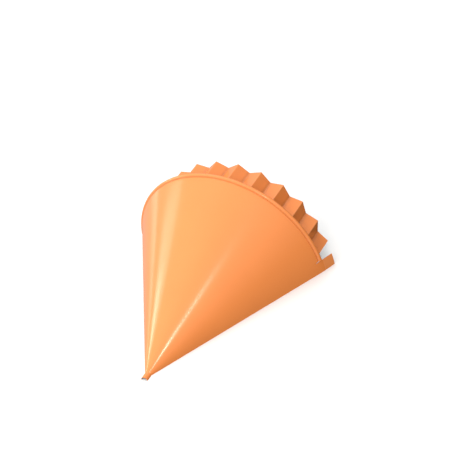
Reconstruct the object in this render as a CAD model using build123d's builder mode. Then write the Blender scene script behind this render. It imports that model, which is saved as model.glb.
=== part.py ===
from build123d import *
import os
from math import asin, atan, cos, degrees, radians, sin, tan

os.makedirs("parts", exist_ok=True)

# Conical end cap for a half-round sheet steel ridge, pressed from one sheet. Millimetres.
# Y runs along the ridge, from the cap's nose to its collar. Z is up.
# Y = 0 is the face of the rim where the ridge's end stops, Z = 0 the straight lower edges.

sheet = 0.5              # thickness of the coated steel

# The ridge that the cap closes
ridge_radius = 110.0     # outside of the half-round ridge
ridge_sheet = 0.5
ridge_gap = 0.5          # play between the ridge's inside and the collar's pleats

# Collar: the pleated strip that slides into the ridge
pleat_count = 12         # outer folds from one end of the strip to the other
pleat_depth = 8.3        # outer folds to inner folds, measured toward the axis
pleat_end_angle = 6.6    # degrees from the lower edges up to the first outer fold
pleat_bend = 0.9         # radius of each fold
collar_length = 35.3

# Cone and the half-round bead rolled round its wide end, with a narrow groove in front of it
rim_overhang = 8.0       # cone's wide end past the collar's outer folds
cone_length = 209.0      # from the bead back to the point where the cone would close
bead_width = 4.7
groove_width = 1.0
groove_depth = 0.9       # from the bead's foot in to the groove's bottom, measured toward the axis
groove_bend = 0.35       # inside radius of the groove's two bends

# Small half-round nose in place of a sharp point
nose_radius = 4.0
nose_reach = 1.5         # past the point where the cone would close
nose_bend = 3.0

# Tabs that carry the cone's two lower edges on past the rim
tab_height = 14.9
tab_reach = 12.4         # past the rim's face
tab_lean = 4.7           # degrees that a tab leans in from the cone's slope
tab_bend = 2.0
slit_width = 1.0         # parts each tab from the bead's end above it

collar_radius = ridge_radius - ridge_sheet - ridge_gap
rim_radius = collar_radius + rim_overhang
taper = rim_radius / cone_length
crease_y = -bead_width
nose_y = crease_y - cone_length + nose_radius / taper
tab_taper = tan(atan(taper) - radians(tab_lean))
slit_angle = degrees(asin(tab_height / rim_radius))
shoulder_angle = degrees(asin((tab_height + slit_width) / rim_radius))
cone_axis = Axis((0, 0, 0), (0, -1, 0))

nose_start = (nose_radius, crease_y - cone_length - nose_reach)
nose_root = (nose_radius, nose_y)
crease = (rim_radius, crease_y)
groove_start = (rim_radius - taper * groove_width, crease_y - groove_width)
groove_bottom = (rim_radius - groove_depth, crease_y)
bead_middle = (rim_radius, crease_y / 2)
tab_end = (rim_radius + tab_taper * (bead_width + tab_reach), tab_reach)


def section_plane(angle):
    """Plane through the cone's axis, its X leaning up from level by the angle, its Y along the axis."""
    lean = radians(angle)
    return Plane(origin=(0, 0, 0), x_dir=(cos(lean), 0, sin(lean)), z_dir=(-sin(lean), 0, cos(lean)))


def around(radius, angle):
    """Point on a circle about the cone's axis, seen from the nose."""
    return (radius * cos(radians(angle)), radius * sin(radians(angle)))


# Corners of the pleated strip's outer face, outer and inner folds by turns
pleat_pitch = (180 - 2 * pleat_end_angle) / (pleat_count - 1)
folds = []
for fold in range(2 * pleat_count - 1):
    fold_radius = collar_radius - pleat_depth * (fold % 2)
    folds.append(around(fold_radius, pleat_end_angle + pleat_pitch * fold / 2))

# Foot of one side: the lowest strip of the cone, which runs on into the tab
with BuildPart() as foot:
    with BuildSketch(section_plane(0)):
        with BuildLine():
            FilletPolyline(nose_start, nose_root, crease, tab_end, radius=(nose_bend, tab_bend))
            offset(amount=sheet, side=Side.LEFT)
        make_face()
    revolve(axis=cone_axis, revolution_arc=slit_angle)
    split(bisect_by=Plane.XY.offset(tab_height), keep=Keep.BOTTOM)

with BuildPart() as ridge_end_cap:
    # Cone, groove and bead, from one foot over to the other
    with BuildSketch(section_plane(slit_angle)):
        with BuildLine():
            FilletPolyline(
                nose_start, nose_root, groove_start, groove_bottom, crease,
                radius=(nose_bend, groove_bend + sheet, groove_bend),
            )
            CenterArc(bead_middle, bead_width / 2, -90, 180)
            offset(amount=sheet, side=Side.LEFT)
        make_face()
    revolve(axis=cone_axis, revolution_arc=180 - 2 * slit_angle)

    # The groove's and the bead's ends stop short of the tabs
    with Locations((-rim_radius, groove_start[1], 0), (rim_radius, groove_start[1], 0)):
        Box(
            2 * bead_width, groove_width + bead_width, tab_height + slit_width,
            align=(Align.CENTER, Align.MIN, Align.MIN), mode=Mode.SUBTRACT,
        )

    add(foot.part)
    mirror(foot.part, about=Plane.YZ)

    # Flat shoulder that stops the ridge, from the rim in to the pleats
    with BuildSketch(Plane.XZ):
        with BuildLine():
            FilletPolyline(*folds, radius=pleat_bend)
            CenterArc((0, 0), rim_radius, shoulder_angle, 180 - 2 * shoulder_angle)
            Line(around(rim_radius, shoulder_angle), folds[0])
            Line(around(rim_radius, 180 - shoulder_angle), folds[-1])
        make_face()
    extrude(amount=sheet)

    # Pleated collar standing on the shoulder's inner edge
    with BuildSketch(Plane.XZ.offset(sheet)):
        with BuildLine():
            FilletPolyline(*folds, radius=pleat_bend)
            offset(amount=sheet, side=Side.LEFT)
        make_face()
    extrude(amount=-(sheet + collar_length))

ridge_end_cap.part.label = "ridge_end_cap"
export_step(ridge_end_cap.part, "parts/ridge_end_cap.step")
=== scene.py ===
from math import atan, cos, pi, radians, sin, tan

import bmesh
import bpy
import numpy as np
from mathutils import Matrix, Vector


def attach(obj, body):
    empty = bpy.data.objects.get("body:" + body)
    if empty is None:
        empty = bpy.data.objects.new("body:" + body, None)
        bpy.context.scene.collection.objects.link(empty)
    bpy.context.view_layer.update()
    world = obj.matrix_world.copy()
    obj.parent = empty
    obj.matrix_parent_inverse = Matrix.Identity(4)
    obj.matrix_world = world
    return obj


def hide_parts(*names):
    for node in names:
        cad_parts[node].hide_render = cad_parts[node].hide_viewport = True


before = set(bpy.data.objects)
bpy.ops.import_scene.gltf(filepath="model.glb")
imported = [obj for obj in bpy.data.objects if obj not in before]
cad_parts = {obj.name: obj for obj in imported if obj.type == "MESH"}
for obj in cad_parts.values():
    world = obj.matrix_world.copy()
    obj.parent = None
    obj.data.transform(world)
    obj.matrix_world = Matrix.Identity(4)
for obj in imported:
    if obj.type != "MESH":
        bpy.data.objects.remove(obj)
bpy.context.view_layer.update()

# Sizes of the cap in millimetres, the same as the solid's. Y runs from the nose to the collar, Z is up.
MM = 0.001               # a millimetre in the frame's metres
SHEET = 0.5              # thickness of the coated steel
COLLAR_RADIUS = 109.0    # over the outer folds
COLLAR_LENGTH = 35.3
COLLAR_BEND = 0.8        # inside radius where the shoulder turns into the collar
PLEATS = 12              # outer folds from one end of the collar to the other
PLEAT_DEPTH = 8.3        # outer folds to inner folds, measured toward the axis
PLEAT_END_ANGLE = 6.6    # degrees from level up to the first outer fold
PLEAT_BEND = 0.9
RIM_RADIUS = 117.0       # wide end of the cone
CONE_LENGTH = 209.0      # from the bead to the point where the cone would close
BEAD_WIDTH = 4.7
GROOVE_WIDTH = 1.0
GROOVE_DEPTH = 0.9       # from the bead's foot in to the groove's bottom
GROOVE_BEND = 0.35       # inside radius of the groove's two bends
NOSE_RADIUS = 4.0
NOSE_REACH = 1.5         # past the point where the cone would close
NOSE_BEND = 3.0
TAB_HEIGHT = 14.9
TAB_REACH = 12.4         # past the shoulder's face
TAB_LEAN = 4.7           # degrees that a tab leans in from the cone's slope
SLIT_WIDTH = 1.0         # parts each tab from the bead's end above it

TAPER = RIM_RADIUS / CONE_LENGTH
TAB_TAPER = tan(atan(TAPER) - radians(TAB_LEAN))
CREASE_Y = -BEAD_WIDTH
GROOVE_Y = CREASE_Y - GROOVE_WIDTH
TIP_Y = CREASE_Y - CONE_LENGTH
INNER_FOLD_RADIUS = COLLAR_RADIUS - PLEAT_DEPTH
BEAD_TOP_RADIUS = RIM_RADIUS + BEAD_WIDTH / 2

# Fineness of the grids: points on an arc, rows or columns of a strip, and longest steps in millimetres
FOLD_POINTS = 7
FOLD_STEP = 1.6
PROFILE_BEND_POINTS = 9
PROFILE_STEP = 5.0
BEAD_POINTS = 21
SHOULDER_ROWS = 5
COLLAR_BEND_POINTS = 6
COLLAR_ROWS = 13
FOOT_COLUMNS = 13
TAB_STEP = 1.5
WELD_DISTANCE = 0.001    # points of two grids that are nearer than this become one
SMOOTH_ANGLE = 40        # degrees: a sharper edge is shaded as an edge


# Shapes

def rounded_path(corners, radii, points):
    """Straight runs joined by arcs. Each arc starts radius * tan(turn / 2) before its corner, and sweeps
    the turn about a centre one radius to the side that the path turns to."""
    corners = np.asarray(corners, float)
    radii = np.broadcast_to(radii, len(corners) - 2)
    runs = np.diff(corners, axis=0)
    runs /= np.linalg.norm(runs, axis=1, keepdims=True)
    before, after = runs[:-1], runs[1:]
    turn = np.arctan2(before[:, 0] * after[:, 1] - before[:, 1] * after[:, 0], (before * after).sum(1))
    start = corners[1:-1] - before * (radii * np.tan(np.abs(turn) / 2))[:, None]
    spoke = np.stack([before[:, 1], -before[:, 0]], 1) * (radii * np.sign(turn))[:, None]
    sweep = turn[:, None] * np.linspace(0, 1, points)
    arcs = np.stack([
        spoke[:, :1] * np.cos(sweep) - spoke[:, 1:] * np.sin(sweep),
        spoke[:, :1] * np.sin(sweep) + spoke[:, 1:] * np.cos(sweep),
    ], -1)
    arcs += (start - spoke)[:, None]
    return np.concatenate([corners[:1], arcs.reshape(-1, 2), corners[-1:]])


def divided(path, longest):
    """The same path with each run cut into equal parts, none over the longest length."""
    lengths = np.linalg.norm(np.diff(path, axis=0), axis=1)
    parts = np.maximum(1, np.ceil(lengths / longest)).astype(int)
    run = np.repeat(np.arange(len(parts)), parts)
    share = (np.arange(len(run)) - np.repeat(np.cumsum(parts) - parts, parts)) / parts[run]
    points = path[run] + (path[run + 1] - path[run]) * share[:, None]
    return np.concatenate([points, path[-1:]])


def arc(centre, radius, start, end, points):
    """Points of a circle's arc between two angles, in radians."""
    angle = np.linspace(start, end, points)
    return centre + radius * np.stack([np.cos(angle), np.sin(angle)], 1)


def turned(profile, angles):
    """Points (radius, y) of a profile carried round the cone's axis to each angle, in radians from level."""
    radius, y = profile[:, :1], profile[:, 1:]
    return np.stack([radius * np.cos(angles), y + 0 * angles, radius * np.sin(angles)], -1)


def grid_faces(rows, columns, first):
    """Corners of the quads of a grid whose points are counted along its rows from the first one's number.
    A quad faces the way of its step to the next row crossed with its step to the next column."""
    index = first + np.arange(rows * columns).reshape(rows, columns)
    return np.stack([index[:-1, :-1], index[1:, :-1], index[1:, 1:], index[:-1, 1:]], -1).reshape(-1, 4)


def pleat_line():
    """Outer face of the collar seen along the axis: outer and inner folds by turns, at even angles, each
    rounded."""
    fold = np.arange(2 * PLEATS - 1)
    angle = np.linspace(radians(PLEAT_END_ANGLE), radians(180 - PLEAT_END_ANGLE), len(fold))
    radius = COLLAR_RADIUS - PLEAT_DEPTH * (fold % 2)
    corners = np.stack([radius * np.cos(angle), radius * np.sin(angle)], 1)
    return divided(rounded_path(corners, PLEAT_BEND, FOLD_POINTS), FOLD_STEP)


def cap_profile():
    """Outer face of the cap from nose to shoulder as (radius, y), and how many points come before the
    groove. The cone dips into a narrow groove, whose far side stands square to the axis and runs on into the
    bead, half a circle over the bead's width."""
    corners = [
        (NOSE_RADIUS, TIP_Y - NOSE_REACH),
        (NOSE_RADIUS, TIP_Y + NOSE_RADIUS / TAPER),
        (RIM_RADIUS - TAPER * GROOVE_WIDTH, GROOVE_Y),
        (RIM_RADIUS - GROOVE_DEPTH, CREASE_Y),
        (RIM_RADIUS, CREASE_Y),
    ]
    lip_bend = GROOVE_BEND + SHEET
    path = rounded_path(corners, (NOSE_BEND, lip_bend, GROOVE_BEND), PROFILE_BEND_POINTS)
    path = divided(path, PROFILE_STEP)
    bead_middle = np.array([RIM_RADIUS, CREASE_Y / 2])
    bead = arc(bead_middle, BEAD_WIDTH / 2, -pi / 2, pi / 2, BEAD_POINTS)
    before_groove = int(np.sum(path[:, 1] < GROOVE_Y - lip_bend / 2))
    return np.concatenate([path, bead[1:]]), before_groove


def over_the_top(profile, before_groove, pleats):
    """The sheet from one slit over to the other. Each column follows the cap's profile, crosses the flat
    shoulder to its own point of the pleat line, turns through a quarter arc and runs out along the axis.
    The cone starts level with the tabs' top edges, the bead one slit's width above them."""
    steps = np.r_[0, np.cumsum(np.linalg.norm(np.diff(pleats, axis=0), axis=1))]
    lift = np.clip((profile[:, 1] - profile[before_groove - 1, 1]) / GROOVE_WIDTH, 0, 1)
    rise = np.where(lift > 0, (TAB_HEIGHT + SLIT_WIDTH * lift) / profile[:, 0], TAB_HEIGHT / RIM_RADIUS)
    lowest = np.arcsin(rise)[:, None]
    cap = turned(profile, lowest + steps / steps[-1] * (pi - 2 * lowest))

    foot = np.stack([pleats[:, 0], 0 * steps, pleats[:, 1]], -1)
    outward = cap[-1] - foot
    outward /= np.linalg.norm(outward, axis=1, keepdims=True)
    along = np.array([0.0, 1.0, 0.0])

    share = np.linspace(0, 1, SHOULDER_ROWS + 2)[1:-1, None, None]
    shoulder = cap[-1] * (1 - share) + (foot + COLLAR_BEND * outward) * share
    swing = np.linspace(0, pi / 2, COLLAR_BEND_POINTS)[:, None, None]
    bend = foot + COLLAR_BEND * ((1 - np.sin(swing)) * outward + (1 - np.cos(swing)) * along)
    reach = np.linspace(COLLAR_BEND, COLLAR_LENGTH, COLLAR_ROWS + 1)[1:, None, None]
    collar = foot + reach * along
    return np.concatenate([cap, shoulder, bend, collar])


def foot_strip(cone, right):
    """The lowest strip of the cone on one side and its tab, which leans in from the cone's slope. The
    strip's top edge is a line of the cone, the tab's is level at the tab's height."""
    tab = np.array([
        (RIM_RADIUS, CREASE_Y),
        (RIM_RADIUS + TAB_TAPER * (BEAD_WIDTH + TAB_REACH), TAB_REACH),
    ])
    rows = np.concatenate([cone, divided(tab, TAB_STEP)])
    top = np.arcsin(TAB_HEIGHT / np.maximum(RIM_RADIUS, rows[:, :1]))
    share = np.linspace(0, 1, FOOT_COLUMNS)
    return turned(rows, share * top if right else pi - (1 - share) * top)


def sheet_piece(name, grids, coats):
    """One sheet from grids that share edges: welded, given its thickness inwards, its cut edges kept sharp.
    The outer face takes the first coat, the inner face the second, the cut edges the third."""
    points, faces, first = [], [], 0
    for grid in grids:
        rows, columns = grid.shape[:2]
        points.append(grid.reshape(-1, 3) * MM)
        faces.append(grid_faces(rows, columns, first))
        first += rows * columns
    mesh = bpy.data.meshes.new(name)
    mesh.from_pydata(np.concatenate(points), [], np.concatenate(faces))
    welded = bmesh.new()
    welded.from_mesh(mesh)
    bmesh.ops.remove_doubles(welded, verts=welded.verts, dist=WELD_DISTANCE * MM)
    welded.to_mesh(mesh)
    welded.free()
    for coat in coats:
        mesh.materials.append(coat)

    piece = bpy.data.objects.new(name, mesh)
    bpy.context.collection.objects.link(piece)
    wall = piece.modifiers.new("wall", "SOLIDIFY")
    wall.thickness = SHEET * MM
    wall.offset = -1
    wall.use_even_offset = True
    wall.material_offset = 1
    wall.material_offset_rim = 2
    solid = bpy.data.meshes.new_from_object(piece.evaluated_get(bpy.context.evaluated_depsgraph_get()))
    piece.modifiers.clear()
    piece.data = solid
    bpy.data.meshes.remove(mesh)
    solid.name = name
    solid.shade_smooth()
    solid.set_sharp_from_angle(angle=radians(SMOOTH_ANGLE))
    return piece


# Finishes

ORANGE = (0.805, 0.24, 0.056, 1)
LIGHT_ORANGE = (0.865, 0.266, 0.063, 1)
# Lighter orange for the rubbed folds and crown: wear with a painted highlight
RUBBED_HIGHLIGHT_ORANGE = (0.9, 0.42, 0.2, 1)
# Dark orange for dust and painted shade in the groove and the inner folds
DUST_AND_SHADE_ORANGE = (0.2, 0.09, 0.045, 1)
EDGE_ORANGE = (0.6, 0.16, 0.045, 1)
ZINC = (0.4, 0.38, 0.36, 1)
GREY = (0.41, 0.4, 0.37, 1)
LIGHT_GREY = (0.51, 0.5, 0.47, 1)
# Darker grey for the inner face towards its lower edges
DARKER_GREY = (0.3, 0.27, 0.23, 1)
FLOOR_WHITE = (0.85, 0.85, 0.85, 1)

# Reach of the dust and painted shade, of the wear and painted highlight, and of the inner face's darkening
# low down, in millimetres
COLLAR_START = (0.4, 1.2)    # past the shoulder's face
BEAD_FOOT = 0.5              # how far the groove's dust and painted shade creep up the bead
FOLD_DUST_AND_SHADE = 2.2              # out from the inner folds
FOLD_RUB_AND_HIGHLIGHT = 1.1               # in from the outer folds
CROWN_RUB_AND_HIGHLIGHT = 0.45             # in from the bead's top
LOW_DARKENING_REACH = 12.0            # up from the lower edges


class Value:
    """A socket's value in a finish. Arithmetic on it adds Math nodes."""

    def __init__(self, finish, socket):
        self.finish, self.socket = finish, socket

    def _math(self, operation, *values):
        return self.finish.node("ShaderNodeMath", {"operation": operation}, dict(enumerate(values)))

    def __add__(self, other):
        return self._math("ADD", self, other)

    def __sub__(self, other):
        return self._math("SUBTRACT", self, other)

    def __rsub__(self, other):
        return self._math("SUBTRACT", other, self)

    def __mul__(self, other):
        return self._math("MULTIPLY", self, other)

    __radd__, __rmul__ = __add__, __mul__


class Finish:
    """The nodes of one material, or of the light from all round."""

    def __init__(self, owner):
        self.owner = owner
        owner.use_nodes = True
        self.tree = owner.node_tree
        self.tree.nodes.clear()

    def node(self, kind, settings=None, sockets=None, output=0):
        """A node of that kind with its settings, then its sockets' values or links. Gives one output."""
        made = self.tree.nodes.new(kind)
        for setting, value in (settings or {}).items():
            setattr(made, setting, value)
        for key, value in (sockets or {}).items():
            if isinstance(value, Value):
                self.tree.links.new(value.socket, made.inputs[key])
            else:
                made.inputs[key].default_value = value
        return Value(self, made.outputs[output]) if made.outputs else None

    def place(self):
        """Where a spot of the surface lies in the cap's frame, in metres."""
        return self.node("ShaderNodeTexCoord", output="Object")

    def coordinate(self, axis):
        """How far along one axis a spot lies, in metres."""
        return self.node("ShaderNodeSeparateXYZ", None, {0: self.place()}, axis)

    def radius(self):
        """How far from the cone's axis a spot lies, in metres."""
        across = self.node("ShaderNodeVectorMath", {"operation": "MULTIPLY"}, {
            0: self.place(), 1: (1, 0, 1),
        })
        return self.node("ShaderNodeVectorMath", {"operation": "LENGTH"}, {0: across}, "Value")

    def noise(self, size, detail, rough=0.5):
        """Soft random values about 0.5, with features of that size in millimetres."""
        return self.node("ShaderNodeTexNoise", {"noise_dimensions": "3D"}, {
            "Vector": self.place(), "Scale": 1 / (size * MM), "Detail": detail, "Roughness": rough,
        })

    def rising(self, length, start, end):
        """0 up to the start, 1 from the end on, smooth between. The length is in metres, its two limits in
        millimetres."""
        return self.node("ShaderNodeMapRange", {"interpolation_type": "SMOOTHSTEP"}, {
            "Value": length, "From Min": start * MM, "From Max": end * MM,
        })

    def mixed(self, share, first, second):
        """One colour turning into another."""
        return self.node("ShaderNodeMix", {"data_type": "RGBA"}, {0: share, 6: first, 7: second}, 2)

    def bumped(self, height, strength, depth):
        """Surface direction over fine bumps of that height pattern and depth, in millimetres."""
        return self.node("ShaderNodeBump", None, {
            "Strength": strength, "Distance": depth * MM, "Height": height,
        })

    def surface(self, sockets):
        """The material, with one shader that has those values or links."""
        shader = self.node("ShaderNodeBsdfPrincipled", None, sockets)
        self.node("ShaderNodeOutputMaterial", None, {"Surface": shader})
        return self.owner


def orange_coat():
    """Glossy baked coat: even colour with a faint cloudiness, slight gloss changes and an orange-peel skin.
    Dust and painted shade darken the groove and the collar's inner folds. The bead's crown and the outer
    folds are rubbed, and lightened with a painted highlight."""
    finish = Finish(bpy.data.materials.new("orange_coat"))
    along = finish.coordinate("Y")
    height = finish.coordinate("Z")
    radius = finish.radius()
    cloud = finish.noise(size=45.0, detail=3)
    haze = finish.noise(size=12.0, detail=4, rough=0.6)
    peel = finish.noise(size=1.6, detail=1)

    on_collar = finish.rising(along, *COLLAR_START)
    past_groove_start = finish.rising(along, GROOVE_Y, GROOVE_Y + GROOVE_WIDTH / 2)
    before_bead = 1 - finish.rising(along, CREASE_Y, CREASE_Y + BEAD_FOOT)
    above_tab = finish.rising(height, TAB_HEIGHT, TAB_HEIGHT + SLIT_WIDTH)
    in_groove = past_groove_start * before_bead * above_tab
    in_fold = (1 - finish.rising(radius, INNER_FOLD_RADIUS, INNER_FOLD_RADIUS + FOLD_DUST_AND_SHADE)) * on_collar
    on_fold = finish.rising(radius, COLLAR_RADIUS - FOLD_RUB_AND_HIGHLIGHT, COLLAR_RADIUS) * on_collar
    on_crown = finish.rising(radius, BEAD_TOP_RADIUS - CROWN_RUB_AND_HIGHLIGHT, BEAD_TOP_RADIUS) * (1 - on_collar)
    # Dust and painted shade: the groove and the inner folds darkened where shade falls
    darkening = (0.15 * in_groove + 0.25 * in_fold) * (0.6 + 0.8 * haze)
    # Wear and a painted highlight: the outer folds and the bead's crown lightened
    wear_and_highlight = (on_fold + 0.2 * on_crown) * haze

    colour = finish.mixed(cloud, ORANGE, LIGHT_ORANGE)
    colour = finish.mixed(0.35 * wear_and_highlight, colour, RUBBED_HIGHLIGHT_ORANGE)
    colour = finish.mixed(darkening, colour, DUST_AND_SHADE_ORANGE)
    return finish.surface({
        "Base Color": colour,
        "Roughness": 0.17 + 0.07 * haze + 0.3 * darkening + 0.1 * wear_and_highlight + 0.2 * on_crown,
        "Normal": finish.bumped(peel, strength=0.06, depth=0.2),
        "IOR": 1.5,
    })


def backing_coat():
    """Thin grey coat on the sheet's inner face, duller and a little grainier than the outer one, darker and
    rougher in specks towards the lower edges."""
    finish = Finish(bpy.data.materials.new("backing_coat"))
    cloud = finish.noise(size=30.0, detail=4)
    speck = finish.noise(size=2.5, detail=3, rough=0.65)
    # Darker and rougher in specks towards the lower edges
    darkening = (1 - finish.rising(finish.coordinate("Z"), 0.0, LOW_DARKENING_REACH)) * speck
    colour = finish.mixed(0.6 * cloud + 0.4 * speck, GREY, LIGHT_GREY)
    colour = finish.mixed(0.5 * darkening, colour, DARKER_GREY)
    return finish.surface({
        "Base Color": colour,
        "Roughness": 0.42 + 0.14 * cloud + 0.2 * darkening,
        "Normal": finish.bumped(speck, strength=0.1, depth=0.2),
    })


def cut_edge():
    """The coat drawn thin over the sheared edges, with small flecks where the zinc shows, at the noise's
    highest values."""
    finish = Finish(bpy.data.materials.new("cut_edge"))
    noise = finish.noise(size=3.0, detail=3)
    fleck = finish.node("ShaderNodeMapRange", None, {"Value": noise, "From Min": 0.6, "From Max": 0.66})
    colour = finish.mixed(fleck, EDGE_ORANGE, ZINC)
    return finish.surface({"Base Color": colour, "Roughness": 0.5 - 0.12 * fleck})


def floor_finish():
    """Plain matt white."""
    finish = Finish(bpy.data.materials.new("pale_floor"))
    return finish.surface({"Base Color": FLOOR_WHITE, "Roughness": 0.9})


# The cap

profile, before_groove = cap_profile()
cone = profile[:before_groove]
cap = sheet_piece(
    "sheet_cap",
    [over_the_top(profile, before_groove, pleat_line()), foot_strip(cone, True), foot_strip(cone, False)],
    [orange_coat(), backing_coat(), cut_edge()],
)
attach(cap, "root")
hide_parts("ridge_end_cap")


# Stage, in metres, watts and degrees

FLOOR_SIDE = 30.0
CAP_MIDDLE = Vector((0.0, -0.09, 0.05))
CAMERA_PLACE = Vector((0.9785, -1.3377, 1.2542))
CAMERA_TARGET = Vector((-0.0367, 0.0501, 0.0))
CAMERA_ROLL = -15.0
LENS_MM = 144.0
SENSOR_MM = 36.0

# A large soft light behind the cap on its left: turn from the front, rise above level, distance
SOFT_LIGHT_PLACE = (225, 65, 3.2)
SOFT_LIGHT_SIZE = (1.8, 1.8)
SOFT_LIGHT_POWER = 16.0

# Small warm lights that the cone mirrors as streaks: the angle round the cone and the share of the way from
# its tip to the bead where each one shows, then its distance, size and power
STREAK_COLOUR = (1.0, 0.93, 0.78)
STREAKS = (
    ("narrow_streak_tip", 57.5, 0.15, 0.4, (0.04, 0.04), 0.25),
    ("narrow_streak", 57, 0.4, 0.8, (0.06, 0.06), 0.34),
    ("broad_streak", 112, 0.35, 1.0, (0.45, 0.35), 1.45),
    ("broad_streak_tip", 114, 0.25, 0.7, (0.14, 0.14), 0.34),
    ("low_streak", 129, 0.5, 1.4, (0.8, 0.08), 0.56),
    ("low_streak_side", 132, 0.4, 1.4, (0.6, 0.12), 0.24),
)

# The light from all round: where each broad lobe comes from, and its strength
LOBES = (
    ((0.0, 0.0, 1.0), 1.24),
    ((0.0, -1.0, 0.0), 1.02),
    ((-1.0, 0.0, 0.0), 0.74),
    ((1.0, 0.0, 0.0), 0.07),
)


def facing(place, target, roll=0.0):
    """World matrix at a place, looking at the target, turned by the roll about the line of sight."""
    look = (Vector(target) - Vector(place)).to_track_quat("-Z", "Y").to_matrix().to_4x4()
    return Matrix.Translation(place) @ look @ Matrix.Rotation(radians(roll), 4, "Z")


def soft_light(name, place, target, size, power, colour=(1.0, 1.0, 1.0)):
    """A rectangular light at a place, facing the target."""
    lamp = bpy.data.lights.new(name, "AREA")
    lamp.shape = "RECTANGLE"
    lamp.size, lamp.size_y = size
    lamp.energy = power
    lamp.color = colour
    light = bpy.data.objects.new(name, lamp)
    bpy.context.collection.objects.link(light)
    light.matrix_world = facing(place, target)


def around_cap(azimuth, elevation, distance):
    """A place seen from the cap's middle: azimuth 0 is in front of the nose, 90 to the right."""
    turn, rise = radians(azimuth), radians(elevation)
    return CAP_MIDDLE + distance * Vector((sin(turn) * cos(rise), -cos(turn) * cos(rise), sin(rise)))


def mirrored_place(angle, share, distance):
    """A spot on the cone, at an angle round it and a share of the way from its tip to the bead, and the
    place whose mirror image in that spot the camera sees."""
    turn, flare = radians(angle), atan(TAPER)
    around = Vector((cos(turn), 0.0, sin(turn)))
    along = Vector((0.0, 1.0, 0.0))
    spot = MM * (RIM_RADIUS * share * around + (TIP_Y + CONE_LENGTH * share) * along)
    square_to = cos(flare) * around - sin(flare) * along
    toward = (CAMERA_PLACE - spot).normalized()
    return spot, spot + distance * (2 * square_to.dot(toward) * square_to - toward)


def light_from_all_round(lobes):
    """Sum of broad soft lobes: each has its strength straight ahead, and fades with the cosine to the sides.
    Past the floor's edge the camera sees plain white."""
    backdrop = Finish(bpy.data.worlds.new("studio"))
    view = backdrop.node("ShaderNodeTexCoord", output="Generated")
    total = 0.0
    for direction, strength in lobes:
        cosine = backdrop.node(
            "ShaderNodeVectorMath", {"operation": "DOT_PRODUCT"}, {0: view, 1: direction}, "Value",
        )
        ahead = backdrop.node("ShaderNodeMath", {"operation": "MAXIMUM"}, {0: cosine, 1: 0.0})
        total = total + strength * ahead
    seen = backdrop.node("ShaderNodeLightPath", output="Is Camera Ray")
    brightness = total * (1 - seen) + seen
    glow = backdrop.node("ShaderNodeBackground", None, {"Color": (1, 1, 1, 1), "Strength": brightness})
    backdrop.node("ShaderNodeOutputWorld", None, {"Surface": glow})
    return backdrop.owner


# The floor only shows the cap's shadow: the cap doesn't mirror it, and it keeps no light off the cap
bpy.ops.mesh.primitive_plane_add(size=FLOOR_SIDE)
floor = bpy.context.object
floor.name = "floor"
floor.data.materials.append(floor_finish())
floor.visible_diffuse = False
floor.visible_glossy = False
floor.visible_shadow = False

soft_light("back_light", around_cap(*SOFT_LIGHT_PLACE), CAP_MIDDLE, SOFT_LIGHT_SIZE, SOFT_LIGHT_POWER)
for name, angle, share, distance, size, power in STREAKS:
    spot, place = mirrored_place(angle, share, distance)
    soft_light(name, place, spot, size, power, STREAK_COLOUR)
bpy.context.scene.world = light_from_all_round(LOBES)
bpy.context.scene.view_settings.view_transform = "Standard"

lens = bpy.data.cameras.new("camera")
lens.sensor_width = SENSOR_MM
lens.lens = LENS_MM
camera = bpy.data.objects.new("camera", lens)
bpy.context.collection.objects.link(camera)
camera.matrix_world = facing(CAMERA_PLACE, CAMERA_TARGET, CAMERA_ROLL)
bpy.context.scene.camera = camera
